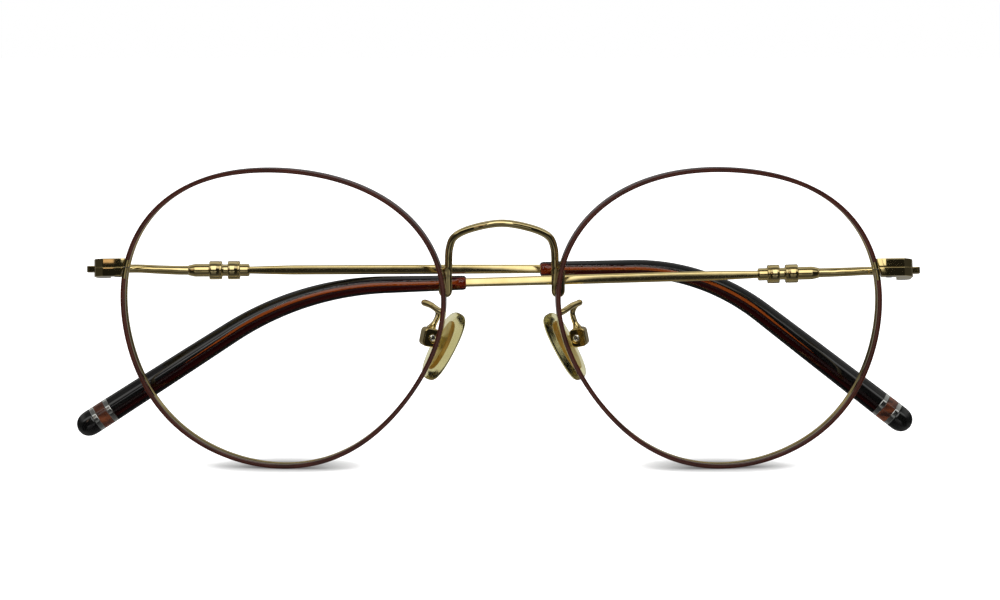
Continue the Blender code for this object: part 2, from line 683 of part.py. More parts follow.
def build_temple(name, side):
    hand = (1, -side)
    fold, axis = hinge_axes(name)
    back = axis.cross(fold) * -side
    angle = math.radians(FOLD_BACK[name])
    along = math.cos(angle) * fold + math.sin(angle) * back
    pivot = add_frame(f"pivot_{name}", hinge_centre(name), along, axis)
    temple = add_frame(f"temple_{name}", hinge_centre(name) - axis * DROP[name], along, axis)
    bend, trim = BENDS[name], TRIM[name]

    middle = add_solid(f"heel_{name}", heel(), "gold", pivot, hand)
    combine(middle, turned(((-2.0, BORE_RADIUS), (2.0, BORE_RADIUS)), "z", sides=16), "DIFFERENCE", hand)
    add_solid(f"shank_{name}", shank(DROP[name]), "gold", pivot, hand)
    add_solid(f"sleeve_{name}", turned(SLEEVE), "gold", temple, hand)
    add_solid(f"collar_front_{name}", turned(COLLAR_FRONT), "gold", temple, hand)
    add_solid(f"collar_rear_{name}", turned(COLLAR_REAR), "gold", temple, hand)
    add_solid(f"temple_bar_{name}", temple_bar(bend), "gold", temple, hand)
    add_solid(f"tip_{name}", tip(bend, trim), "acetate", temple, hand)
    for part, (low, high) in RINGS.items():
        finish = "spacer_brown" if part == "spacer" else "silver"
        add_solid(f"{part}_{name}", tip_slice(low + trim, high + trim, bend), finish, temple, hand)
    add_solid(f"tip_cap_{name}", tip_cap(bend, trim), "cap_black", temple, hand)


clear_scene()
for side_name, side_sign in SIDES.items():
    build_front_side(side_name, side_sign)
    build_pad_side(side_name, side_sign)
    build_temple(side_name, side_sign)
centre_frame = add_frame("centre", (0, 0, 0), (1, 0, 0), (0, 0, 1))
add_solid("bridge", bridge(), "gold", centre_frame)
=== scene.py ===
"""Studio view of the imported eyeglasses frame, with every visible piece rebuilt in fine detail."""

import json
import math

import bmesh
import bpy
import numpy as np
from mathutils import Matrix, Vector


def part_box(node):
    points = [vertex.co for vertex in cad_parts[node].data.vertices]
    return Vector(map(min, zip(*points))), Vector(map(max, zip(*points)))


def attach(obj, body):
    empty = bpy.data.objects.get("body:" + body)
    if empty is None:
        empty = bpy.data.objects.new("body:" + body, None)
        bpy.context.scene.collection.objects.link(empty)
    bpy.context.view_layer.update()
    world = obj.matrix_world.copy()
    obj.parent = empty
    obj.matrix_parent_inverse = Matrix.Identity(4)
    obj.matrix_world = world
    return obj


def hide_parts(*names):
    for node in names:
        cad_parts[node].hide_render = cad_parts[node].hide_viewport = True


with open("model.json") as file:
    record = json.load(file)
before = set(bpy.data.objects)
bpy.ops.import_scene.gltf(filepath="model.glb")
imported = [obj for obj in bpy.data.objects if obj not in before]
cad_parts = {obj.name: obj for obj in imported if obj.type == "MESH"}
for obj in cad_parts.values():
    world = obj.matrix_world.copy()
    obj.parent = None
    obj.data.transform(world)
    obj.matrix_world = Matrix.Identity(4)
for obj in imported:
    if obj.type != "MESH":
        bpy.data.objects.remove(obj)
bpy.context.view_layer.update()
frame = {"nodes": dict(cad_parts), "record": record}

MM = 0.001
SIDES = {"right": -1, "left": 1}
JOINTS = {joint["name"]: joint for joint in frame["record"]["behaviour"]["joints"]}
MOUNTS = {mount["name"]: mount for mount in frame["record"]["mounts"]}

# Shape of the frame, in millimetres and degrees, as in its CAD source
HINGE_BACK = 11.5
RIM_CENTRE_X = 35.5
RIM_WRAP = 5.3
RIM_RADII = {
    "right": (26.25, 26.95, 25.2, 24.45, 26.35, 28.05, 27.1, 26.4, 25.7, 25.1, 24.5, 24.4),
    "left": (26.45, 27.65, 26.0, 24.6, 25.85, 27.6, 27.0, 26.45, 25.75, 25.1, 24.5, 24.45),
}
RIM_WALL = 0.75
RIM_DEPTH = 2.2
SPLIT_ANGLE = {"right": 163.0, "left": 163.5}
SPLIT_GAP = 0.3
BARE_ANGLE = 3.4
BRAZE_GAP = 0.03
BRIDGE_HALF = ((0.0, 40.78), (4.5, 40.0), (7.5, 38.6), (8.5, 36.6), (8.7, 33.5))
BRIDGE_RADIUS = 0.62
BRIDGE_CROWN_Y = 1.5
BRIDGE_LEG_Y = 2.95
FOOT_X = 9.2
FOOT_TOP = 33.25
FOOT_BOTTOM = 28.5
FOOT_HALF = (1.1, 0.45)
FOOT_ROUND = 1.05
FOOT_NECK = 4.2
FOOT_TILT = 0.09
FOOT_MARKS = (0.0, 0.03, 0.08, 0.16, 0.3, 0.5, 0.75, 1.05, 1.6, 2.6, 3.7, 4.2, 4.45, 4.6, 4.72)
BARREL_RADIUS = 1.2
HALF_HEIGHT = 1.46
MIDDLE_HALF = 0.53
LOCK_JOINT_HALF = 0.012
HEEL_REACH = 2.75
HEEL_HALF_TAIL = 0.72
HEEL_HALF_TAB = 0.95
WEB_INNER = 1.6
WEB_OUTER = -1.05
WEB_BACK = -2.82
WEB_FRONT = -3.5
END_FRONT_Y = -6.35
END_OUTER_X = 0.7
CHAMFER = 1.35
SLANT = 0.25
LOCK_SCREW_XY = (3.1, -4.9)
PAD_CENTRE = (2.6, -0.4)
PAD_HALF_LENGTH = 6.1
PAD_HALF_WIDTH = 3.75

# Cushion and core plate: (depth from the middle, how far the outline moves in, or grows)
PAD_LAYERS = (
    (-1.15, 1.5), (-1.12, 1.15), (-1.02, 0.75), (-0.82, 0.36), (-0.55, 0.12), (-0.25, 0.01), (0.1, 0.0),
    (0.45, 0.03), (0.75, 0.15), (1.0, 0.42), (1.14, 0.8), (1.19, 1.15), (1.2, 1.6), (1.2, 2.4),
)
CORE_FACES = (2.37, 2.83)
CORE_HALF = (1.9, 4.3)
CORE_LAYERS = ((-0.23, -0.1), (-0.18, -0.02), (-0.08, 0.0), (0.08, 0.0), (0.18, -0.02), (0.23, -0.1))
LUG_HALF_WIDTH = 0.95
LUG_RADIUS = 0.98
LUG_HALF_DEPTH = 0.44
BOX_X = (-1.6, 1.0)
BOX_HALF = (1.2, 1.5)
BOX_TURN = 16.5

# Pad arm: (across, back, up, share of the arm's shift on its side)
ARM_PATH = (
    (9.4, 2.95, 25.8, 0.0), (10.35, 3.5, 26.25, 0.0), (11.6, 5.0, 26.85, 0.0), (12.75, 6.5, 27.05, 0.0),
    (12.65, 7.7, 26.9, 0.2), (11.95, 8.5, 26.2, 0.7), (11.5, 8.7, 25.2, 1.0), (11.65, 8.55, 24.2, 1.0),
)
ARM_SHIFT = {"right": -0.9, "left": 0.25}
ARM_RADII = (0.5, 0.45)

# Shank: (distance from the hinge, rise, radius)
SHANK = (
    (2.34, 0.0, 0.55), (2.8, 0.03, 0.68), (4.4, 0.1, 0.71), (6.2, 0.13, 0.71), (9.0, 0.06, 0.73),
    (12.0, 0.01, 0.76), (13.96, 0.0, 0.77),
)
DROP = {"right": 0.245, "left": -0.065}

# Turned ornament: (distance from the hinge, or from the collar's start, and radius)
SLEEVE = (
    (13.98, 0.78), (14.02, 0.84), (14.4, 0.93), (14.9, 1.04), (15.15, 1.075), (15.4, 1.08), (17.28, 1.08),
    (17.43, 1.05),
)
COLLAR = (
    (0.0, 1.1), (0.01, 1.42), (0.04, 1.48), (0.09, 1.52), (0.16, 1.55), (1.45, 1.55), (1.48, 1.53),
    (1.5, 1.49), (1.53, 1.49), (1.55, 1.53), (1.58, 1.55), (1.72, 1.55), (1.79, 1.52), (1.84, 1.48),
    (1.87, 1.42), (1.88, 1.05),
)
FRONT_COLLAR_START = 17.45
FRONT_COLLAR_STRETCH = 1.14
FRONT_COLLAR_NECK = ((19.73, 1.0), (19.93, 0.985), (20.23, 0.985), (20.5, 1.0))
REAR_COLLAR_START = 20.52
REAR_COLLAR_STRETCH = 1.09
REAR_COLLAR_SOCKET = ((22.68, 1.04), (23.73, 1.05), (23.93, 1.04), (24.07, 0.98), (24.13, 0.85))

# Bar and tip: (distance from the hinge, half height, half thickness)
BAR_START = 24.11
BAR_END = 136.2
BAR_HALF = (
    (24.17, 0.6, 0.47), (27.5, 0.7, 0.47), (31.0, 0.79, 0.47), (58.0, 0.79, 0.47), (72.8, 0.72, 0.46),
    (92.0, 0.66, 0.42), (136.2, 0.5, 0.35),
)
CORE_HALF_HEIGHT = 0.34
CORE_DEPTH = 0.3
TIP_START = 72.8
TIP_END = 137.7
TIP_HALF = (
    (72.8, 1.22, 1.03), (73.7, 1.25, 1.05), (82.0, 1.38, 1.1), (92.0, 1.54, 1.15), (102.0, 1.66, 1.21),
    (122.0, 1.94, 1.32), (138.0, 2.09, 1.41), (144.4, 2.12, 1.45),
)
TIP_ROUND = ((0.02, 0.62), (0.05, 0.75), (0.12, 0.86), (0.24, 0.94), (0.42, 0.985), (0.65, 1.0))

# The black layer lies on the red one; its joint is at this share of the tip's half height
BLACK_START = 75.38
BLACK_LEVEL = ((75.1, 0.93), (75.4, 0.4), (92.0, 0.34), (110.0, 0.1), (125.0, -0.15), (144.0, -0.2))
RINGS_START = 137.7
SPACER_START = 138.52
SPACER_END = 140.32
CAP_START = 141.12
CAP_LENGTH = 3.2

# Bend of the tip: (start, radius, angle)
BENDS = {"right": (88.4, 36.0, 37.8), "left": (86.4, 50.0, 31.4)}
TRIM = {"right": -0.35, "left": -0.3}

# Slight turn of the temple about its own length, in degrees, as rolled bar has
TWIST = {
    "right": (
        (24.0, -0.4), (60.0, 0.0), (66.0, 1.2), (70.0, 2.6), (72.8, 3.0), (82.0, 2.0), (94.0, 0.4),
        (145.0, 0.0),
    ),
    "left": (
        (24.0, -2.6), (34.0, -3.2), (40.0, -3.6), (52.0, -3.0), (58.0, -0.4), (72.0, 0.2), (84.0, 0.0),
        (96.0, -0.6), (106.0, -3.0), (145.0, -3.2),
    ),
}


# Materials

def new_material(name):
    made = bpy.data.materials.new(name)
    made.use_nodes = True
    nodes = made.node_tree.nodes
    return made, nodes, made.node_tree.links, nodes["Principled BSDF"]


def texture_point(nodes, links, stretch=(1.0, 1.0, 1.0)):
    """Object coordinates in millimetres, stretched along each axis."""
    coordinates = nodes.new("ShaderNodeTexCoord")
    scale = nodes.new("ShaderNodeMapping")
    scale.inputs["Scale"].default_value = [1000.0 * s for s in stretch]
    links.new(coordinates.outputs["Object"], scale.inputs["Vector"])
    return scale.outputs["Vector"]


def noise(nodes, links, point, scale, detail=2.0):
    made = nodes.new("ShaderNodeTexNoise")
    made.inputs["Scale"].default_value = scale
    made.inputs["Detail"].default_value = detail
    links.new(point, made.inputs["Vector"])
    return made.outputs["Fac"]


def ramp(nodes, links, factor, stops):
    made = nodes.new("ShaderNodeValToRGB")
    elements = made.color_ramp.elements
    while len(elements) < len(stops):
        elements.new(0.5)
    for element, (position, colour) in zip(elements, stops):
        element.position = position
        element.color = (*colour, 1.0)
    links.new(factor, made.inputs["Fac"])
    return made.outputs["Color"]


def spread(nodes, links, factor, low, high):
    made = nodes.new("ShaderNodeMapRange")
    made.inputs["To Min"].default_value = low
    made.inputs["To Max"].default_value = high
    links.new(factor, made.inputs["Value"])
    return made.outputs["Result"]


def bump(nodes, links, shader, height, strength, distance):
    made = nodes.new("ShaderNodeBump")
    made.inputs["Strength"].default_value = strength
    made.inputs["Distance"].default_value = distance * MM
    links.new(height, made.inputs["Height"])
    links.new(made.outputs["Normal"], shader.inputs["Normal"])


def metal(name, light, deep, roughness, waviness, wave_scale=0.55):
    """Polished plating: colour drifts a little, roughness varies, and the surface is faintly wavy."""
    made, nodes, links, shader = new_material(name)
    point = texture_point(nodes, links)
    drift = noise(nodes, links, point, 0.35, 3.0)
    links.new(ramp(nodes, links, drift, ((0.35, deep), (0.62, light))), shader.inputs["Base Color"])
    fine = noise(nodes, links, point, 3.5, 4.0)
    links.new(spread(nodes, links, fine, roughness * 0.7, roughness * 1.5), shader.inputs["Roughness"])
    shader.inputs["Metallic"].default_value = 1.0
    bump(nodes, links, shader, noise(nodes, links, point, wave_scale, 1.5), 1.0, waviness)
    return made


def enamel():
    """Deep burgundy fired enamel with a clear glossy surface and a slight orange peel."""
    made, nodes, links, shader = new_material("rim_enamel")
    point = texture_point(nodes, links)
    drift = noise(nodes, links, point, 0.3, 3.0)
    stops = ((0.3, (0.026, 0.0058, 0.003)), (0.7, (0.044, 0.0092, 0.0044)))
    links.new(ramp(nodes, links, drift, stops), shader.inputs["Base Color"])
    fine = noise(nodes, links, point, 2.2, 3.0)
    links.new(spread(nodes, links, fine, 0.13, 0.25), shader.inputs["Roughness"])
    shader.inputs["Coat Weight"].default_value = 0.6
    shader.inputs["Coat Roughness"].default_value = 0.06
    bump(nodes, links, shader, noise(nodes, links, point, 1.6, 2.0), 1.0, 0.004)
    return made


def gloss(name, dark, light, roughness, peel=0.003):
    """Polished opaque acetate with faint streaks in its colour."""
    made, nodes, links, shader = new_material(name)
    point = texture_point(nodes, links, (0.35, 1.0, 1.0))
    streak = noise(nodes, links, point, 0.9, 4.0)
    links.new(ramp(nodes, links, streak, ((0.35, dark), (0.7, light))), shader.inputs["Base Color"])
    links.new(spread(nodes, links, noise(nodes, links, point, 2.5, 3.0), roughness * 0.6, roughness * 1.5),
              shader.inputs["Roughness"])
    shader.inputs["IOR"].default_value = 1.5
    shader.inputs["Specular IOR Level"].default_value = 0.9
    bump(nodes, links, shader, noise(nodes, links, point, 0.7, 2.0), 1.0, peel)
    return made


def clear(name, tint, absorbed, density, roughness, ior, peel=0.003):
    """Clear plastic that takes up light with depth."""
    made, nodes, links, shader = new_material(name)
    point = texture_point(nodes, links, (0.4, 1.0, 1.0))
    shade = noise(nodes, links, point, 0.8, 3.0)
    darker = tuple(0.86 * c for c in tint)
    links.new(ramp(nodes, links, shade, ((0.3, darker), (0.7, tint))), shader.inputs["Base Color"])
    links.new(spread(nodes, links, noise(nodes, links, point, 2.0, 3.0), roughness * 0.7, roughness * 1.4),
              shader.inputs["Roughness"])
    shader.inputs["IOR"].default_value = ior
    shader.inputs["Transmission Weight"].default_value = 1.0
    bump(nodes, links, shader, noise(nodes, links, point, 0.7, 2.0), 1.0, peel)
    if density:
        volume = nodes.new("ShaderNodeVolumeAbsorption")
        volume.inputs["Color"].default_value = (*absorbed, 1.0)
        volume.inputs["Density"].default_value = density
        links.new(volume.outputs["Volume"], nodes["Material Output"].inputs["Volume"])
    return made


GOLD = metal("gold_polished", (0.82, 0.67, 0.33), (0.74, 0.58, 0.25), 0.06, 0.006)
GOLD_WAVY = metal("gold_wire", (0.84, 0.69, 0.35), (0.74, 0.58, 0.25), 0.06, 0.3, 0.3)
GOLD_SOFT = metal("gold_cast", (0.8, 0.64, 0.3), (0.62, 0.45, 0.15), 0.1, 0.05, 0.9)
STEEL = metal("screw_bright", (0.86, 0.85, 0.82), (0.74, 0.72, 0.68), 0.12, 0.01)
SILVER = metal("silver_ring", (0.74, 0.75, 0.72), (0.62, 0.64, 0.61), 0.12, 0.006)
CORE_METAL = metal("pad_core_metal", (0.62, 0.54, 0.3), (0.5, 0.38, 0.16), 0.3, 0.01)
CORE_EDGE = metal("pad_core_edge", (0.42, 0.26, 0.07), (0.3, 0.16, 0.03), 0.35, 0.01)
ENAMEL = enamel()
BLACK = gloss("acetate_black", (0.0018, 0.0018, 0.0018), (0.004, 0.0036, 0.0033), 0.05)
CAP_BLACK = gloss("cap_black", (0.0016, 0.0016, 0.0016), (0.0034, 0.0034, 0.003), 0.05)
RED = clear("acetate_red", (0.76, 0.64, 0.5), (0.7, 0.37, 0.12), 6000.0, 0.05, 1.49)
SPACER = gloss("spacer_brown", (0.016, 0.006, 0.004), (0.12, 0.034, 0.013), 0.07)
SILICONE = clear("pad_silicone", (0.84, 0.82, 0.64), (0.8, 0.77, 0.54), 300.0, 0.1, 1.28, 0.01)


# Local frames, as matrices from millimetres to the part's frame

def axes_matrix(origin, x, z):
    x = Vector(x).normalized()
    z = Vector(z).normalized()
    y = z.cross(x)
    turn = Matrix((x, y, z)).transposed().to_4x4()
    return Matrix.Translation(Vector(origin)) @ turn @ Matrix.Scale(MM, 4)


def centre_of(node):
    points = np.array([v.co for v in frame["nodes"][node].data.vertices], float)
    return Vector(points.mean(0))


def box_centre(node):
    low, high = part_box(node)
    return (low + high) / 2


def hinge_matrix(name):
    """x along the folding plane towards the nose, z up the hinge axis."""
    joint = JOINTS[f"temple_{name}_hinge"]
    axis = Vector(joint["axis"]) * -SIDES[name]
    inward = Vector((-SIDES[name], 0.0, 0.0))
    return axes_matrix(joint["pos_m"], inward - axis * axis.dot(inward), axis)


def temple_matrix(name):
    joint = JOINTS[f"temple_{name}_hinge"]
    axis = Vector(joint["axis"]) * -SIDES[name]
    along = centre_of(f"collar_front_{name}") - Vector(joint["pos_m"])
    return axes_matrix(joint["pos_m"], along - axis * axis.dot(along), axis)


def pad_matrix(name):
    joint = JOINTS[f"nose_pad_{name}_tilt"]
    across = Vector(joint["axis"])
    to_pad = Vector(MOUNTS[f"pad_face_{name}"]["axis"])
    return axes_matrix(joint["pos_m"], to_pad, to_pad.cross(across))


# Shapes, as (points, faces, finishes)

def circle(radius, sides=32):
    return [
        (radius * math.cos(2 * math.pi * i / sides), radius * math.sin(2 * math.pi * i / sides))
        for i in range(sides)
    ]


def loft(rings, finish=None):
    """Rings of equal length, skinned and capped; finish(ring, point) gives each strip face its slot."""
    count = len(rings[0])
    points = [tuple(p) for ring in rings for p in ring]
    faces, slots = [], []
    for k in range(len(rings) - 1):
        for i in range(count):
            j = (i + 1) % count
            faces.append((k * count + i, k * count + j, (k + 1) * count + j, (k + 1) * count + i))
            slots.append(finish(k, i) if finish else 0)
    last = (len(rings) - 1) * count
    faces.append(tuple(range(count))[::-1])
    faces.append(tuple(range(last, last + count)))
    return points, faces, slots + [0, 0]


def turned(profile, axis="x", centre=(0.0, 0.0), sides=48):
    """A profile of (position, radius) turned round an axis."""
    rings = []
    for position, radius in profile:
        ring = []
        for a, b in circle(radius, sides):
            a, b = a + centre[0], b + centre[1]
            ring.append({"x": (position, a, b), "y": (a, position, b), "z": (a, b, position)}[axis])
        rings.append(ring)
    return loft(rings)


def rounded(outline, radius, steps=4):
    """Corners of a closed outline replaced by short curves."""
    made = []
    count = len(outline)
    for i in range(count):
        before, corner, after = (np.array(outline[(i + d) % count][:2], float) for d in (-1, 0, 1))
        to_before, to_after = before - corner, after - corner
        reach_a = min(radius, 0.45 * np.linalg.norm(to_before))
        reach_b = min(radius, 0.45 * np.linalg.norm(to_after))
        a = corner + to_before / np.linalg.norm(to_before) * reach_a
        b = corner + to_after / np.linalg.norm(to_after) * reach_b
        for k in range(steps + 1):
            t = k / steps
            made.append(tuple((1 - t) ** 2 * a + 2 * t * (1 - t) * corner + t * t * b))
    return made


def inset(outline, amount):
    """An outline without hollows, moved inwards by the same amount all round."""
    centre = np.mean(np.array(outline, float), axis=0)
    made = []
    count = len(outline)
    for i in range(count):
        before, point, after = (np.array(outline[(i + d) % count], float) for d in (-1, 0, 1))
        edge = after - before
        normal = np.array((-edge[1], edge[0]))
        normal = normal / max(np.linalg.norm(normal), 1e-9)
        if normal @ (centre - point) < 0:
            normal = -normal
        made.append(tuple(point + normal * amount))
    return made


def slab(outline, low, high, soft=0.12, moved=None):
    """A plan outline between two heights with rounded upper and lower edges."""
    levels = []
    for k in range(5):
        turn = math.pi / 2 * k / 4
        levels.append((soft * (1 - math.cos(turn)), soft * (1 - math.sin(turn))))
    heights = [(low + rise, amount) for rise, amount in levels]
    heights += [(float(height), 0.0) for height in np.linspace(low + soft, high - soft, 8)[1:-1]]
    heights += [(high - rise, amount) for rise, amount in levels[::-1]]
    rings = []
    for height, amount in heights:
        plan = inset(outline, amount) if amount > 1e-6 else outline
        rings.append([(*(moved(x, y, height) if moved else (x, y)), height) for x, y in plan])
    return loft(rings)


def merge(*shapes):
    """Several shapes as one."""
    points, faces, slots = [], [], []
    for more_points, more_faces, more_slots in shapes:
        base = len(points)
        points += more_points
        faces += [tuple(i + base for i in face) for face in more_faces]
        slots += more_slots
    return points, faces, slots


def standing(shape):
    """A shape with its second and third axes exchanged."""
    return [(x, z, y) for x, y, z in shape[0]], shape[1], shape[2]


def strip(half_length, half_width, x=0.0, y=0.0):
    """Outline of a rectangle round a centre."""
    return [
        (x - half_length, y - half_width), (x + half_length, y - half_width),
        (x + half_length, y + half_width), (x - half_length, y + half_width),
    ]


def chamfered(half_a, half_b, cut):
    """Outline of a rectangle with its corners cut off."""
    return [
        (half_a, -half_b + cut), (half_a, half_b - cut), (half_a - cut, half_b), (-half_a + cut, half_b),
        (-half_a, half_b - cut), (-half_a, -half_b + cut), (-half_a + cut, -half_b), (half_a - cut, -half_b),
    ]


def smooth_path(points, steps):
    """A Catmull-Rom curve through the points."""
    pts = [np.array(p, float) for p in points]
    pts = [2 * pts[0] - pts[1]] + pts + [2 * pts[-1] - pts[-2]]
    path = []
    for a, b, c, d in zip(pts, pts[1:], pts[2:], pts[3:]):
        for k in range(steps):
            t = k / steps
            path.append(0.5 * (2 * b + (c - a) * t + (2 * a - 5 * b + 4 * c - d) * t**2
                               + (3 * b - a - 3 * c + d) * t**3))
    path.append(pts[-2])
    return path


def wire(path, radii, sides=28):
    """A round wire along a path, with a radius for each of its points."""
    rings = []
    side = np.array((0.0, 1.0, 0.0))
    for k, point in enumerate(path):
        ahead = path[min(k + 1, len(path) - 1)] - path[max(k - 1, 0)]
        ahead = ahead / np.linalg.norm(ahead)
        side = side - ahead * (side @ ahead)
        side = side / np.linalg.norm(side)
        up = np.cross(ahead, side)
        rings.append([point + side * a + up * b for a, b in circle(radii[k], sides)])
    return loft(rings)


def level_faces(made):
    """Normals weighted by area, so that flat faces stay flat beside their rounded edges."""
    weighted = made.modifiers.new("level_faces", "WEIGHTED_NORMAL")
    weighted.keep_sharp = True
    weighted.weight = 100


def piece(name, shape, matrix, finishes, body, stands_for=(), slot=None, hand=1, sharp=50):
    """A closed piece in the part's frame, from millimetres in its local frame."""
    points, faces, slots = shape
    mesh = bpy.data.meshes.new(name)
    mesh.from_pydata([matrix @ Vector((x, y * hand, z)) for x, y, z in points], [], faces)
    mesh.polygons.foreach_set("material_index", slots)
    for finish in finishes:
        mesh.materials.append(finish)
    shaped = bmesh.new()
    shaped.from_mesh(mesh)
    bmesh.ops.recalc_face_normals(shaped, faces=shaped.faces)
    shaped.to_mesh(mesh)
    shaped.free()
    mesh.shade_smooth()
    mesh.set_sharp_from_angle(angle=math.radians(sharp))
    made = bpy.data.objects.new(name, mesh)
    bpy.context.scene.collection.objects.link(made)
    level_faces(made)
    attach(made, body)
    if stands_for:
        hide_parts(*stands_for)
    return made


def carve(made, shape, matrix, hand):
    """Cuts a shape out of a piece."""
    tool = piece("carving", shape, matrix, [made.data.materials[0]], "front", hand=hand)
    cut = made.modifiers.new("cut", "BOOLEAN")
    cut.operation = "DIFFERENCE"
    cut.solver = "EXACT"
    cut.object = tool
    bpy.context.view_layer.update()
    mesh = bpy.data.meshes.new_from_object(made.evaluated_get(bpy.context.evaluated_depsgraph_get()))
    made.modifiers.clear()
    made.data = mesh
    mesh.set_sharp_from_angle(angle=math.radians(35))
    level_faces(made)
    bpy.data.objects.remove(tool, do_unlink=True)


# Rims

def rim_point(name, angle):
    """A point of the rim's outer edge in its own plane, from the Fourier series through the twelve radii."""
    radii = RIM_RADII[name]
    terms = np.fft.rfft(radii) / len(radii)
    radius = terms[0].real
    for k in range(1, len(terms)):
        share = 1.0 if 2 * k == len(radii) else 2.0
        radius += share * (terms[k].real * math.cos(k * angle) - terms[k].imag * math.sin(k * angle))
    return np.array((radius * math.cos(angle), radius * math.sin(angle)))


def rim_section():
    """Inward distance and depth of points round the flat wire, and the finish of the side after each.

    Enamel covers the front with its inner edge and the outer side down to a fine step. The back, the inner
    side and its lens groove are gold.
    """
    enamel, gold = 0, 1
    front_round, back_round, step = 0.16, 0.14, 0.03
    back = RIM_DEPTH - back_round
    quarter = [math.pi / 2 * k / 4 for k in range(1, 5)]
    rows = [(0.6, 0.0, enamel), (0.38, -0.012, enamel), (front_round, 0.0, enamel)]
    for turn in quarter:
        rows.append((front_round * (1 - math.sin(turn)), front_round * (1 - math.cos(turn)), enamel))
    rows += [(-0.008, 1.0, enamel), (0.0, 1.86, enamel), (step, 1.9, gold), (step, back, gold)]
    for turn in quarter:
        rows.append((step + back_round * (1 - math.cos(turn)), back + back_round * math.sin(turn), gold))
    rows += [(0.4, RIM_DEPTH, gold), (0.63, 2.19, gold), (0.72, 2.15, gold), (RIM_WALL, back, gold)]
    rows += [(RIM_WALL, 1.5, gold), (0.7, 1.44, gold), (0.42, 1.12, gold), (0.42, 1.08, gold)]
    rows += [(0.7, 0.76, gold), (RIM_WALL, 0.7, gold), (RIM_WALL, 0.16, enamel)]
    rows += [(0.73, 0.07, enamel), (0.68, 0.025, enamel)]
    return rows


def build_rim(name, side):
    """The rim wire, bent round the lens from one side of its split to the other."""
    rows = rim_section()
    stations = 288
    start = math.radians(SPLIT_ANGLE[name] + SPLIT_GAP / 2)
    sweep = math.radians(360 - SPLIT_GAP)
    rings, angles = [], []
    for k in range(stations + 1):
        angle = start + sweep * k / stations
        edge = rim_point(name, angle)
        along = rim_point(name, angle + 1e-4) - rim_point(name, angle - 1e-4)
        inward = np.array((-along[1], along[0])) / np.hypot(*along)
        rings.append([(edge[0] + inward[0] * d, y, edge[1] + inward[1] * d) for d, y, _ in rows])
        angles.append(math.degrees(angle) % 360)

    def finish(k, i):
        """Bare gold next to the end piece, where the enamel stops short of the braze."""
        return 1 if abs(angles[k] - SPLIT_ANGLE[name]) < BARE_ANGLE else rows[i][2]

    wrap = math.radians(RIM_WRAP)
    matrix = axes_matrix((0, 0, 0), (-side * math.cos(wrap), -math.sin(wrap), 0), (0, 0, 1))
    shape = loft(rings, finish)
    placed = np.array([matrix @ Vector((x, y * -side, z)) for x, y, z in shape[0]])
    middle = Vector((placed.min(0) + placed.max(0)) / 2)
    matrix = Matrix.Translation(box_centre(f"rim_{name}") - middle) @ matrix
    piece(f"rim_{name}", shape, matrix, [ENAMEL, GOLD], "front", [f"rim_{name}"], "rim_enamel", -side, 40)


# Bridge

def bridge_foot(side, sides):
    """Rings of one flattened foot, from its rounded lower end up to the round wire."""
    rings = []
    for rise in FOOT_MARKS:
        end = min(rise, FOOT_ROUND) / FOOT_ROUND
        share = 0.22 + 0.78 * math.sqrt(max(1 - (1 - end) ** 2, 0.0))
        top = max(0.0, (rise - FOOT_NECK) / (FOOT_TOP - FOOT_BOTTOM - FOOT_NECK))
        wide = FOOT_HALF[0] * share * (1 - 0.3 * top**2)
        thick = FOOT_HALF[1] * (0.35 + 0.65 * min(1.0, share * 1.1)) * (1 + 0.25 * top)
        middle = FOOT_X - top * 0.25
        ring = []
        for a, b in circle(1.0, sides):
            square = min(1.0 / max(abs(a), abs(b)) ** 0.45, 1.18)
            out = -a * wide * square
            back = BRIDGE_LEG_Y + b * thick * square + FOOT_TILT * (1 - top) * out
            ring.append((side * (middle + out), back, FOOT_BOTTOM + rise))
        rings.append(ring)
    return rings


def build_bridge():
    """The arched wire with a foot at each end."""
    rise = BRIDGE_LEG_Y - BRIDGE_CROWN_Y
    half = [(x, BRIDGE_CROWN_Y + rise * (x / BRIDGE_HALF[-1][0]) ** 2, z) for x, z in BRIDGE_HALF]
    path = smooth_path([(-x, y, z) for x, y, z in half[:0:-1]] + half, 24)
    sides = 36
    rings = bridge_foot(-1, sides)
    for k, point in enumerate(path):
        ahead = path[min(k + 1, len(path) - 1)] - path[max(k - 1, 0)]
        ahead = ahead / np.linalg.norm(ahead)
        back = np.array((0.0, 1.0, 0.0))
        back = back - ahead * (back @ ahead)
        back = back / np.linalg.norm(back)
        across = np.cross(back, ahead)
        rings.append([point + across * a + back * b for a, b in circle(BRIDGE_RADIUS, sides)])
    rings += bridge_foot(1, sides)[::-1]
    matrix = axes_matrix((0.0, FRONT_Y * MM, 0.0), (1, 0, 0), (0, 0, 1))
    piece("bridge", loft(rings), matrix, [GOLD_WAVY], "front", ["bridge"], "gold", 1, 60)


# End pieces and hinges

def end_outline(name):
    """Plan of the end piece, from the rim round the outer corner to the hinge leaf."""
    inner = INNER_X[name]
    front = [(float(x), END_FRONT_Y - 0.12 + 0.3 * (inner - x) / (inner - END_OUTER_X))
             for x in np.linspace(inner, END_OUTER_X, 12)]
    corners = [
        *front,
        (END_OUTER_X - CHAMFER, END_FRONT_Y + 0.2 + CHAMFER), (WEB_OUTER, WEB_FRONT - 0.01),
        (WEB_INNER, WEB_FRONT - 0.01), (inner - 0.25, WEB_FRONT - 0.5),
    ]
    return rounded(corners, 0.14, 3)


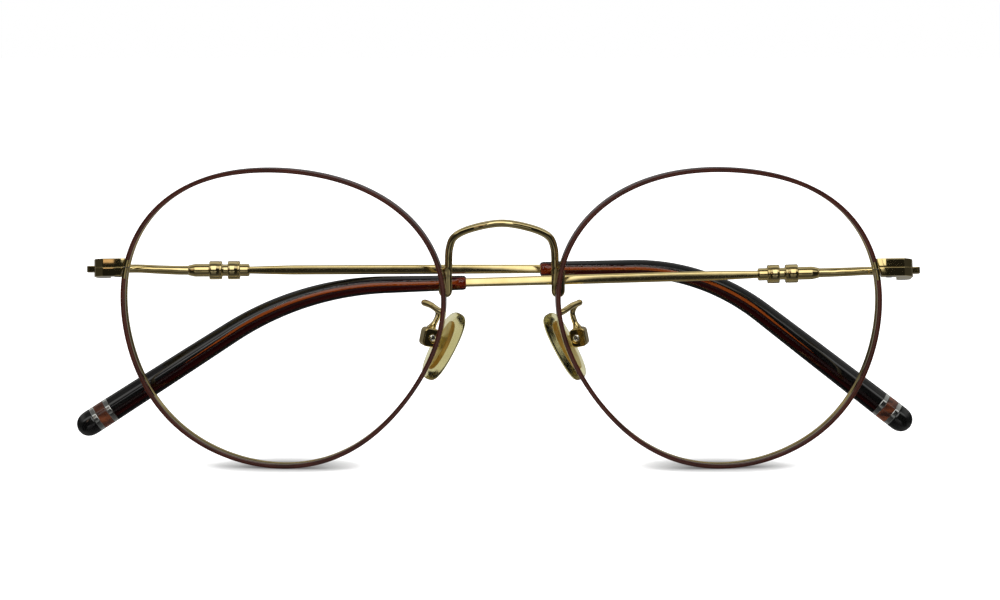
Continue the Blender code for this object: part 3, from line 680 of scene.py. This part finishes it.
def build_end(name, side):
    """The two halves of the end piece and the screw that draws them together."""
    matrix = hinge_matrix(name)
    hand = -side
    outline = end_outline(name)
    middle = (INNER_X[name] + END_OUTER_X) / 2

    def moved(x, y, z):
        """Slants the inner end with the rim and gives the front face a slight crown."""
        if y < -5.0:
            y += 0.02 * z * z - 0.027 * z + 0.012 * (x - middle) ** 2
        return (x + SLANT * z if x > 3.9 else x), y

    piece(f"end_piece_{name}", slab(outline, LOCK_JOINT_HALF, HALF_HEIGHT, 0.09, moved), matrix, [GOLD],
          "front", [f"end_piece_{name}"], "gold", hand)
    lower = piece(f"lock_{name}", slab(outline, -HALF_HEIGHT, -LOCK_JOINT_HALF, 0.09, moved), matrix, [GOLD],
                  "front", [f"lock_{name}"], "gold", hand)
    bottom = -HALF_HEIGHT - 0.12
    recess = turned(((bottom - 1.0, 0.78), (0.42 - HALF_HEIGHT, 0.78)), "z", LOCK_SCREW_XY)
    carve(lower, recess, matrix, hand)
    head = turned((
        (bottom, 0.5), (bottom + 0.03, 0.6), (bottom + 0.12, 0.7), (bottom + 0.3, 0.72),
        (0.4 - HALF_HEIGHT, 0.72),
    ), "z", LOCK_SCREW_XY)
    screw = piece(f"lock_screw_{name}", head, matrix, [STEEL], "front", [f"lock_screw_{name}"],
                  "screw_steel", hand)
    carve(screw, slab(strip(1.0, 0.11, *LOCK_SCREW_XY), bottom - 0.5, bottom + 0.22, 0.02), matrix, hand)


def build_hinge(name, side):
    """The front's hinge leaf with its two barrels, and the screw through them."""
    matrix = hinge_matrix(name)
    hand = -side
    web = [(WEB_OUTER, WEB_FRONT), (WEB_INNER, WEB_FRONT), (WEB_INNER, WEB_BACK), (WEB_OUTER, WEB_BACK)]
    leaf = slab(rounded(web, 0.1, 3), -HALF_HEIGHT, HALF_HEIGHT, 0.08)
    root = WEB_BACK - 0.35
    turns = np.linspace(math.pi, 0.0, 33)
    barrel = [(BARREL_RADIUS * math.cos(a), BARREL_RADIUS * math.sin(a)) for a in turns]
    barrel += [(BARREL_RADIUS, root), (-1.0, root)]
    upper = slab(barrel, MIDDLE_HALF + 0.03, HALF_HEIGHT - 0.01, 0.06)
    lower = slab(barrel, -HALF_HEIGHT + 0.01, -MIDDLE_HALF - 0.03, 0.06)
    knuckles = piece(f"knuckles_{name}", merge(leaf, upper, lower), matrix, [GOLD], "front",
                     [f"knuckles_{name}"], "gold", hand)
    top = HALF_HEIGHT - 0.02
    pin = piece(f"hinge_screw_{name}", turned((
        (-HALF_HEIGHT + 0.005, 0.3), (-HALF_HEIGHT, 0.46), (-HALF_HEIGHT + 0.04, 0.5), (top - 0.45, 0.5),
        (top - 0.1, 0.82), (top - 0.02, 0.8), (top + 0.01, 0.7),
    ), "z"), matrix, [STEEL], "front", [f"hinge_screw_{name}"], "screw_steel", hand)
    carve(pin, slab(strip(1.0, 0.1), top - 0.2, top + 0.4, 0.02), matrix, hand)
    countersink = turned(((top - 0.46, 0.52), (top - 0.08, 0.86), (top + 0.5, 0.86)), "z")
    carve(knuckles, countersink, matrix, hand)


# Temples

def temple_point(distance, bend):
    """Place and slope of the temple's middle line: straight, then bent down, then straight again."""
    start, radius, angle = bend[0], bend[1], math.radians(bend[2])
    slope = min(max((distance - start) / radius, 0.0), angle)
    straight = max(distance - start - radius * angle, 0.0)
    x = min(distance, start) + radius * math.sin(slope) + straight * math.cos(slope)
    z = -radius * (1 - math.cos(slope)) - straight * math.sin(slope)
    return x, z, slope


def temple_ring(distance, name, section):
    """A section, given as (across, up), set on the temple's middle line and turned by its twist."""
    x, z, slope = temple_point(distance, BENDS[name])
    turn = -math.radians(sizes_at(TWIST[name], distance)[0])
    section = [(a * math.cos(turn) - b * math.sin(turn), a * math.sin(turn) + b * math.cos(turn))
               for a, b in section]
    return [(x + up * math.sin(slope), across, z + up * math.cos(slope)) for across, up in section]


def sizes_at(table, distance):
    """The columns of a table after its first, read off at a distance along the temple."""
    columns = list(zip(*table))
    return [float(np.interp(distance, columns[0], column)) for column in columns[1:]]


def bar_outline(distance):
    """Section of the bar; inside the tip it is a slim core that nearly reaches the tip's broad faces."""
    half_up, half_across = sizes_at(BAR_HALF, distance)
    inside = float(np.interp(distance, (TIP_START + 0.8, TIP_START + 2.2), (0.0, 1.0)))
    half_up += inside * (CORE_HALF_HEIGHT - half_up)
    half_across += inside * (sizes_at(TIP_HALF, distance)[1] - CORE_DEPTH - half_across)
    bevel = 0.3 * half_up
    flat = half_up - bevel
    face = [(half_across + 0.02 * flat * (1 - (z / flat) ** 2), z) for z in np.linspace(-flat, flat, 7)]
    corners = face + [(half_across - bevel, half_up), (bevel - half_across, half_up)]
    corners += [(-x, -z) for x, z in face]
    corners += [(bevel - half_across, -half_up), (half_across - bevel, -half_up)]
    return rounded(corners, 0.06, 3)


def tip_outline(distance, share=1.0, crown=0.0):
    """Long octagon with wide bevels above and below; a crown rounds its broad faces."""
    up, across = (share * size for size in sizes_at(TIP_HALF, distance))
    flat, edge = 0.36 * up, 0.3 * across
    steps = (-1.0, -0.6, -0.2, 0.2, 0.6, 1.0) if crown else (-1.0, 1.0)
    face = [(across + crown * across * (1 - step**2), step * flat) for step in steps]
    corners = face + [(edge, up), (-edge, up)] + [(-x, -z) for x, z in face] + [(-edge, -up), (edge, -up)]
    return rounded(corners, 0.34 * across, 4)


def cut_outline(outline, level, keep_above, count=40):
    """The part of an outline above or below a level, resampled to a fixed number of points."""
    dense = []
    total = len(outline)
    for i in range(total):
        a, b = np.array(outline[i]), np.array(outline[(i + 1) % total])
        dense.append(tuple(a))
        if (a[1] - level) * (b[1] - level) < 0:
            t = (level - a[1]) / (b[1] - a[1])
            dense.append(tuple(a + (b - a) * t))
    kept = [p for p in dense if (p[1] >= level - 1e-9) == keep_above or abs(p[1] - level) < 1e-9]
    sign = 1 if keep_above else -1
    line = np.array(sorted(kept, key=lambda p: math.atan2(sign * (p[1] - level) + 1e-6, p[0])))
    steps = np.r_[0, np.cumsum(np.hypot(*np.diff(line, axis=0).T))]
    marks = np.linspace(0, steps[-1], count)
    return [(float(np.interp(m, steps, line[:, 0])), float(np.interp(m, steps, line[:, 1]))) for m in marks]


def layer_level(distance):
    """Height of the joint between the black and the red layer."""
    return sizes_at(TIP_HALF, distance)[0] * sizes_at(BLACK_LEVEL, distance)[0]


def spaced(low, high, step):
    """Even values from low to high, at most a step apart."""
    count = max(2, int(math.ceil((high - low) / step)) + 1)
    return list(np.linspace(low, high, count))


def temple_part(node, shape, matrix, finish, slot, name, sharp=50, stands_for=None):
    """A piece of one temple, which stands for the node of the same name unless told otherwise."""
    piece(f"{node}_{name}", shape, matrix, [finish], f"temple_{name}", [f"{stands_for or node}_{name}"], slot,
          -SIDES[name], sharp)


def build_heel(name):
    """The temple's half of the hinge: the middle barrel with a tail to the shank and a tab that stops it."""
    radius = BARREL_RADIUS - 0.03
    low = math.asin(HEEL_HALF_TAIL / radius)
    high = math.pi - math.asin(HEEL_HALF_TAB / radius)
    back = [(radius * math.cos(a), radius * math.sin(a)) for a in np.linspace(low, high, 21)]
    tab = [(-HEEL_REACH + 0.5, HEEL_HALF_TAB), (-HEEL_REACH + 0.1, 0.7), (-HEEL_REACH, 0.4)]
    outline = [(SHANK[0][0] + 0.02, HEEL_HALF_TAIL)] + back + tab
    outline += [(x, -y) for x, y in outline[::-1]]
    shape = slab(outline, -MIDDLE_HALF, MIDDLE_HALF, 0.1)
    temple_part("heel", shape, temple_matrix(name), GOLD_SOFT, "gold", name)


def build_shank(name):
    """The slender round wire, which eases from the hinge's middle to the height of the temple's line."""
    start, end = SHANK[0][0], SHANK[-1][0]
    knots = []
    for distance, rise, _ in SHANK:
        share = (distance - start) / (end - start)
        knots.append((distance, 0.0, rise - DROP[name] * share * share * (3.0 - 2.0 * share)))
    path = smooth_path(knots, 8)
    radii = [sizes_at(SHANK, point[0])[1] for point in path]
    temple_part("shank", wire(path, radii, 40), temple_matrix(name), GOLD_WAVY, "gold", name, 60)


def build_ornament(name, line):
    """The turned sleeve and the two grooved collars."""
    front = [(FRONT_COLLAR_START + x * FRONT_COLLAR_STRETCH, r) for x, r in COLLAR] + list(FRONT_COLLAR_NECK)
    rear = [(REAR_COLLAR_START + x * REAR_COLLAR_STRETCH, r) for x, r in COLLAR] + list(REAR_COLLAR_SOCKET)
    temple_part("sleeve", turned(SLEEVE), line, GOLD, "gold", name, 60)
    temple_part("collar_front", turned(front), line, GOLD, "gold", name, 40)
    temple_part("collar_rear", turned(rear), line, GOLD, "gold", name, 40)


def build_bar(name, line):
    """The flat bar and its core wire inside the tip, as one piece."""
    marks = [BAR_START, *spaced(24.4, 72.4, 1.2), *spaced(TIP_START, BAR_END, 0.9)]
    bar = loft([temple_ring(mark, name, bar_outline(mark)) for mark in marks])
    temple_part("temple_bar", bar, line, GOLD, "gold", name, 40)


def build_tip(name, line):
    """The tip's black upper layer and its clear red base, which alone rounds off the front end."""
    start = [(TIP_START + along, share) for along, share in TIP_ROUND]
    start += [(TIP_START + along, 1.0) for along in (1.2, 1.8, 2.3, 2.4, 2.5)]
    rest = [(mark, 1.0) for mark in spaced(BLACK_START + 0.02, TIP_END + TRIM[name], 0.8)]
    for layer, finish, above, marks in (
        ("top", BLACK, True, [(BLACK_START, 1.0)] + rest),
        ("base", RED, False, start + rest),
    ):
        rings = []
        for mark, share in marks:
            section = cut_outline(tip_outline(mark, share), layer_level(mark) * share, above)
            rings.append(temple_ring(mark, name, section))
        temple_part(f"tip_{layer}", loft(rings), line, finish, "acetate", name, 45, "tip")


def build_tip_end(name, line):
    """The two silver rings, the spacer between them and the rounded cap."""
    trim = TRIM[name]
    for part, finish, slot, low, high, crown in (
        ("ring_inner", SILVER, "silver", RINGS_START, SPACER_START, 0.07),
        ("spacer", SPACER, "spacer_brown", SPACER_START, SPACER_END, 0.03),
        ("ring_outer", SILVER, "silver", SPACER_END, CAP_START, 0.07),
    ):
        marks = [(low, 0.97), (low + 0.06, 1.0), *((m, 1.0) for m in spaced(low + 0.1, high - 0.1, 0.3)),
                 (high - 0.06, 1.0), (high, 0.97)]
        rings = [temple_ring(mark + trim, name, tip_outline(mark, share, crown)) for mark, share in marks]
        temple_part(part, loft(rings), line, finish, slot, name, 40)
    rings = [temple_ring(CAP_START + trim, name, tip_outline(CAP_START - 0.02, 0.97))]
    steps, blunt = 14, 0.4
    for k in range(steps + 1):
        along = k / steps if k < 5 else 1 - (1 - k / steps) ** 1.25
        mark = CAP_START + 0.08 + CAP_LENGTH * along
        beyond = max(0.0, (CAP_LENGTH * along - blunt) / (CAP_LENGTH - blunt))
        share = max(1 - beyond**2.6, 0.0) ** 0.5
        rings.append(temple_ring(mark + trim, name, tip_outline(mark, max(share, 0.1))))
    temple_part("tip_cap", loft(rings), line, CAP_BLACK, "cap_black", name, 60)


def build_temple(name):
    """One temple, from the hinge's heel to the cap at its end."""
    line = temple_matrix(name) @ Matrix.Translation((0.0, 0.0, -DROP[name]))
    build_heel(name)
    build_shank(name)
    build_ornament(name, line)
    build_bar(name, line)
    build_tip(name, line)
    build_tip_end(name, line)


# Nose pads

def pad_outline(inset_by, points=64):
    """Oval of the pad's face, a little squared and wider above."""
    ring = []
    for i in range(points):
        a = 2 * math.pi * i / points
        c, s = math.cos(a), math.sin(a)
        square = (abs(c) ** 2.3 + abs(s) ** 2.3) ** (-1 / 2.3)
        width = (PAD_HALF_WIDTH * (1.0 + 0.04 * s) - inset_by) * square
        ring.append((c * width, s * (PAD_HALF_LENGTH - inset_by) * square))
    return ring


def build_pad(name, side):
    """The soft clear cushion and, inside it, the metal plate with the lug that the pad hangs by."""
    matrix = pad_matrix(name)
    hand = -side
    body = f"nose_pad_{name}"
    rings = [[(PAD_CENTRE[0] + offset, y, PAD_CENTRE[1] + z) for y, z in pad_outline(inset_by)]
             for offset, inset_by in PAD_LAYERS]
    cushion = piece(f"nose_pad_{name}", loft(rings), matrix, [SILICONE], body, [f"nose_pad_{name}"],
                    "pad_clear", hand, 60)
    middle = (CORE_FACES[0] + CORE_FACES[1]) / 2
    rings = []
    for x, grow in CORE_LAYERS:
        wide, long = CORE_HALF[0] + grow, CORE_HALF[1] + grow
        rings.append([(middle + x, a * wide, PAD_CENTRE[1] + b * long) for a, b in circle(1.0, 48)])
    plate = loft(rings, lambda ring, point: 1)
    outline = [(middle, -LUG_HALF_WIDTH), (middle, LUG_HALF_WIDTH)]
    outline += [(-LUG_RADIUS * math.sin(a), LUG_RADIUS * math.cos(a)) for a in np.linspace(0.0, math.pi, 21)]
    lug = standing(slab(outline, -LUG_HALF_DEPTH, LUG_HALF_DEPTH, 0.05))
    piece(f"pad_core_{name}", merge(plate, lug), matrix, [CORE_METAL, CORE_EDGE], body, [f"pad_core_{name}"],
          "pad_core", hand)


def boxed(shape):
    """From (across, up, through) in the pad box's own upright frame to the pad's frame."""
    turn = math.radians(BOX_TURN)
    points = [(a * math.cos(turn) - b * math.sin(turn), c, a * math.sin(turn) + b * math.cos(turn))
              for a, b, c in shape[0]]
    return points, shape[1], shape[2]


def build_pad_box(name, side):
    """The box that holds the pad's lug, open towards the pad, and the screw through both."""
    matrix = pad_matrix(name)
    hand = -side
    outline = rounded(chamfered((BOX_X[1] - BOX_X[0]) / 2 + 0.03, BOX_HALF[1] + 0.05, 0.42), 0.35, 5)
    centre = (BOX_X[0] + BOX_X[1]) / 2
    shape = slab([(centre + a, b) for a, b in outline], -BOX_HALF[0], BOX_HALF[0], 0.2)
    box = piece(f"pad_box_{name}", boxed(shape), matrix, [GOLD_SOFT], "front", [f"pad_box_{name}"],
                "gold", hand)
    slot = [(-1.12, -1.3), (BOX_X[1] + 1.0, -1.3), (BOX_X[1] + 1.0, 1.3), (-1.12, 1.3)]
    carve(box, standing(slab(slot, -0.5, 0.5, 0.03)), matrix, hand)
    seat = turned(((-3.0, 0.98), (-1.1, 0.92), (-0.98, 0.84), (-0.8, 0.8), (-0.78, 0.8)), "y")
    carve(box, seat, matrix, hand)
    screw = piece(f"pad_screw_{name}", turned((
        (-1.12, 0.2), (-1.1, 0.42), (-1.02, 0.56), (-0.9, 0.66), (-0.78, 0.7), (-0.74, 0.7), (-0.73, 0.4),
        (1.1, 0.4),
    ), "y"), matrix, [STEEL], "front", [f"pad_screw_{name}"], "screw_steel", hand)
    for turn in (0.0, math.pi / 2):
        cross = [(x * math.cos(turn) - z * math.sin(turn), x * math.sin(turn) + z * math.cos(turn))
                 for x, z in strip(0.42, 0.09)]
        carve(screw, standing(slab(cross, -1.6, -0.95, 0.01)), matrix, hand)


def build_pad_arm(name, side):
    """The hairpin wire from the rim to the pad box, thinner after its bend and flared at the braze."""
    top = Vector(boxed(([(-0.3, BOX_HALF[1] - 0.1, 0.0)], 0, 0))[0][0])
    end = pad_matrix(name) @ top
    end = (side * end.x / MM, end.y / MM - FRONT_Y, end.z / MM)
    points = [(x + share * ARM_SHIFT[name], y, z) for x, y, z, share in ARM_PATH]
    path = smooth_path(points + [end], 10)
    count = len(path)
    radii = []
    for k in range(count):
        thinned = min(1.0, max(0.0, (k / count - 0.52) / 0.12))
        flare = 0.42 * max(0.0, (k - count + 7) / 6) ** 1.6
        radii.append(ARM_RADII[0] - (ARM_RADII[0] - ARM_RADII[1]) * thinned + flare)
    points, faces, slots = wire(path, radii)
    shape = ([(x * side, y, z) for x, y, z in points], faces, slots)
    flat = axes_matrix((0.0, FRONT_Y * MM, 0.0), (1, 0, 0), (0, 0, 1))
    piece(f"pad_arm_{name}", shape, flat, [GOLD_WAVY], "front", [f"pad_arm_{name}"], "gold", 1, 60)


# Assembly

FRONT_Y = JOINTS["temple_right_hinge"]["pos_m"][1] / MM - HINGE_BACK
INNER_X = {}
for side_name, side_sign in SIDES.items():
    hinge_x = abs(JOINTS[f"temple_{side_name}_hinge"]["pos_m"][0]) / MM
    edge_x = rim_point(side_name, math.radians(SPLIT_ANGLE[side_name]))[0]
    edge_x = edge_x * math.cos(math.radians(RIM_WRAP))
    INNER_X[side_name] = hinge_x - RIM_CENTRE_X + edge_x - BRAZE_GAP
    build_rim(side_name, side_sign)
    build_end(side_name, side_sign)
    build_hinge(side_name, side_sign)
    build_pad(side_name, side_sign)
    build_pad_box(side_name, side_sign)
    build_pad_arm(side_name, side_sign)
    build_temple(side_name)
build_bridge()


# Studio

def build_floor():
    """Pale table top, a step lower behind the folded frame, so that the opened temples' ends clear it.

    Its material has a painted soft grey shadow below each rim, which darkens both its colour and its glow.
    """
    mesh = bpy.data.meshes.new("floor")
    reach, back, step = 3.0, 0.06, 0.06
    shadow_back, shadow_half = 5.6, (14.8, 7.4)
    profile = ((-reach, 0.0), (back, 0.0), (back, -step), (reach, -step))
    points = [(x, y, z) for y, z in profile for x in (-reach, reach)]
    mesh.from_pydata(points, [], [(2 * k, 2 * k + 1, 2 * k + 3, 2 * k + 2) for k in range(3)])
    made, nodes, links, shader = new_material("floor_white_painted_shadows")
    shader.inputs["Roughness"].default_value = 1.0
    coordinates = nodes.new("ShaderNodeTexCoord")
    shade = None
    # Painted shadow: a soft grey oval on the floor below each rim, centred a little behind its front
    for name in SIDES:
        low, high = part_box(f"rim_{name}")
        shadow_offset = nodes.new("ShaderNodeVectorMath")
        shadow_offset.operation = "SUBTRACT"
        shadow_offset.inputs[1].default_value = ((low.x + high.x) / 2, low.y + shadow_back * MM, 0.0)
        links.new(coordinates.outputs["Object"], shadow_offset.inputs[0])
        squeeze = nodes.new("ShaderNodeVectorMath")
        squeeze.operation = "MULTIPLY"
        squeeze.inputs[1].default_value = (*(1 / (half * MM) for half in shadow_half), 0.0)
        links.new(shadow_offset.outputs["Vector"], squeeze.inputs[0])
        length = nodes.new("ShaderNodeVectorMath")
        length.operation = "LENGTH"
        links.new(squeeze.outputs["Vector"], length.inputs[0])
        nearest = length.outputs["Value"]
        if shade is not None:
            both = nodes.new("ShaderNodeMath")
            both.operation = "MINIMUM"
            links.new(shade, both.inputs[0])
            links.new(nearest, both.inputs[1])
            nearest = both.outputs["Value"]
        shade = nearest
    # Painted shadow greys, from the oval's dark middle out to the plain floor tone at its edge
    shadow_greys = ((0.0, 0.2), (0.35, 0.26), (0.75, 0.58), (1.0, 0.92))
    painted_shadow_tones = ramp(nodes, links, shade, [(reach_out, (grey, grey, grey)) for reach_out, grey in shadow_greys])
    links.new(painted_shadow_tones, shader.inputs["Base Color"])
    links.new(painted_shadow_tones, shader.inputs["Emission Color"])
    shader.inputs["Emission Strength"].default_value = 0.5
    shader.inputs["Specular IOR Level"].default_value = 0.0
    mesh.materials.append(made)
    floor = bpy.data.objects.new("floor", mesh)
    bpy.context.scene.collection.objects.link(floor)
    floor.visible_glossy = False
    floor.visible_transmission = False


def build_world():
    """White surroundings for the camera, and a studio that only the polished surfaces mirror.

    Levels run round the frame in degrees above the horizon in front of it: a bright soft box between about 18
    and 60 degrees, and darkness next to it. Directions further aside meet a narrower, dimmer box, and the
    flanks are dark at mid height and light above.
    """
    world = bpy.data.worlds.new("studio")
    bpy.context.scene.world = world
    world.use_nodes = True
    world.cycles.sampling_method = "NONE"
    nodes, links = world.node_tree.nodes, world.node_tree.links
    background = nodes["Background"]
    coordinates = nodes.new("ShaderNodeTexCoord")
    split = nodes.new("ShaderNodeSeparateXYZ")
    links.new(coordinates.outputs["Generated"], split.inputs["Vector"])

    def calculate(operation, *values):
        made = nodes.new("ShaderNodeMath")
        made.operation = operation
        for socket, value in zip(made.inputs, values):
            if isinstance(value, (int, float)):
                socket.default_value = value
            else:
                links.new(value, socket)
        return made.outputs["Value"]

    forward = calculate("MULTIPLY", split.outputs["Y"], -1.0)
    angle = calculate("ARCTAN2", split.outputs["Z"], forward)
    turn = calculate("ADD", calculate("DIVIDE", angle, 2 * math.pi), 0.5)

    def faintly_warm(level):
        return level, level * 0.995, level * 0.98

    def levels(*rows):
        stops = [(degrees / 360 + 0.5, faintly_warm(level)) for degrees, level in rows]
        return ramp(nodes, links, turn, stops)

    def window(value, low, high):
        """A smooth step from 0 to 1 between two values, or back down if they are swapped."""
        made = nodes.new("ShaderNodeMapRange")
        made.interpolation_type = "SMOOTHSTEP"
        made.inputs["From Min"].default_value = low
        made.inputs["From Max"].default_value = high
        links.new(value, made.inputs["Value"])
        return made.outputs["Result"]

    def over(factor, below, above):
        """Lays one colour over another by a factor; the upper one may be plain numbers."""
        made = nodes.new("ShaderNodeMix")
        made.data_type = "RGBA"
        links.new(factor, made.inputs["Factor"])
        links.new(below, made.inputs["A"])
        if isinstance(above, tuple):
            made.inputs["B"].default_value = (*above, 1.0)
        else:
            links.new(above, made.inputs["B"])
        return made.outputs["Result"]

    side = calculate("ABSOLUTE", split.outputs["X"])
    middle = levels((-180, 0.15), (-150, 0.3), (-85, 0.2), (-66, 0.12), (-48, 0.04), (-20, 0.16), (-6, 0.16),
                    (4, 0.03), (14.5, 0.02), (18.5, 1.5), (58, 1.7), (66, 0.12), (92, 0.1), (106, 0.6),
                    (150, 0.3), (180, 0.15))
    outer = levels((-180, 0.15), (-150, 0.3), (-85, 0.2), (-66, 0.12), (-48, 0.03), (-8, 0.012), (26, 0.014),
                   (40, 0.9), (58, 0.9), (66, 0.14), (92, 0.12), (106, 0.6), (150, 0.3), (180, 0.15))
    height = calculate("ADD", calculate("MULTIPLY", split.outputs["Z"], 0.5), 0.5)
    flank = ramp(nodes, links, height, [((z + 1) / 2, faintly_warm(level)) for z, level in (
        (-1.0, 0.34), (-0.55, 0.2), (-0.2, 0.05), (0.25, 0.035), (0.45, 0.2), (0.7, 0.7), (1.0, 0.6))])
    blend = over(window(side, 0.222, 0.232), middle, outer)

    # A grey card just below the horizon on both sides of the middle, and a small warm one above it
    low_card = calculate("MULTIPLY", window(turn, 0.452, 0.462), window(turn, 0.496, 0.486))
    off_middle = calculate("MULTIPLY", window(side, 0.08, 0.1), window(side, 0.3, 0.28))
    low_card = calculate("MULTIPLY", low_card, off_middle)
    blend = over(low_card, blend, (0.3, 0.3, 0.29))
    sideways = split.outputs["X"]
    across = calculate("MULTIPLY", window(sideways, -0.43, -0.42), window(sideways, -0.31, -0.32))
    upward = calculate("MULTIPLY", window(turn, 0.536, 0.54), window(turn, 0.57, 0.566))
    blend = over(calculate("MULTIPLY", across, upward), blend, (0.85, 0.6, 0.45))
    studio = over(window(side, 0.66, 0.86), blend, flank)

    # Matt surfaces, the background seen through the pads and the camera see plain white
    path = nodes.new("ShaderNodeLightPath")
    shown = over(path.outputs["Is Diffuse Ray"], studio, (1.2, 1.2, 1.2))
    through = calculate("GREATER_THAN", path.outputs["Transmission Depth"], 0.5)
    shown = over(through, shown, (1.0, 1.0, 1.0))
    shown = over(path.outputs["Is Camera Ray"], shown, (1.0, 1.0, 1.0))
    links.new(shown, background.inputs["Color"])
    background.inputs["Strength"].default_value = 1.0


def build_camera():
    """89 mm lens 8 degrees above the horizon, aimed a little behind the rims' front at mid height."""
    data = bpy.data.cameras.new("camera")
    data.lens = 88.9
    data.sensor_width = 36.0
    data.clip_start = 0.01
    target = Vector((-0.29, 2.45 + FRONT_Y, 28.1)) * MM
    elevation = math.radians(8.0)
    away = Vector((0.0, -math.cos(elevation), math.sin(elevation)))
    camera = bpy.data.objects.new("camera", data)
    camera.location = target + away * 0.4025
    camera.rotation_euler = (-away).to_track_quat("-Z", "Y").to_euler()
    bpy.context.scene.collection.objects.link(camera)
    bpy.context.scene.camera = camera


build_floor()
build_world()
build_camera()
bpy.context.scene.view_settings.view_transform = "Standard"
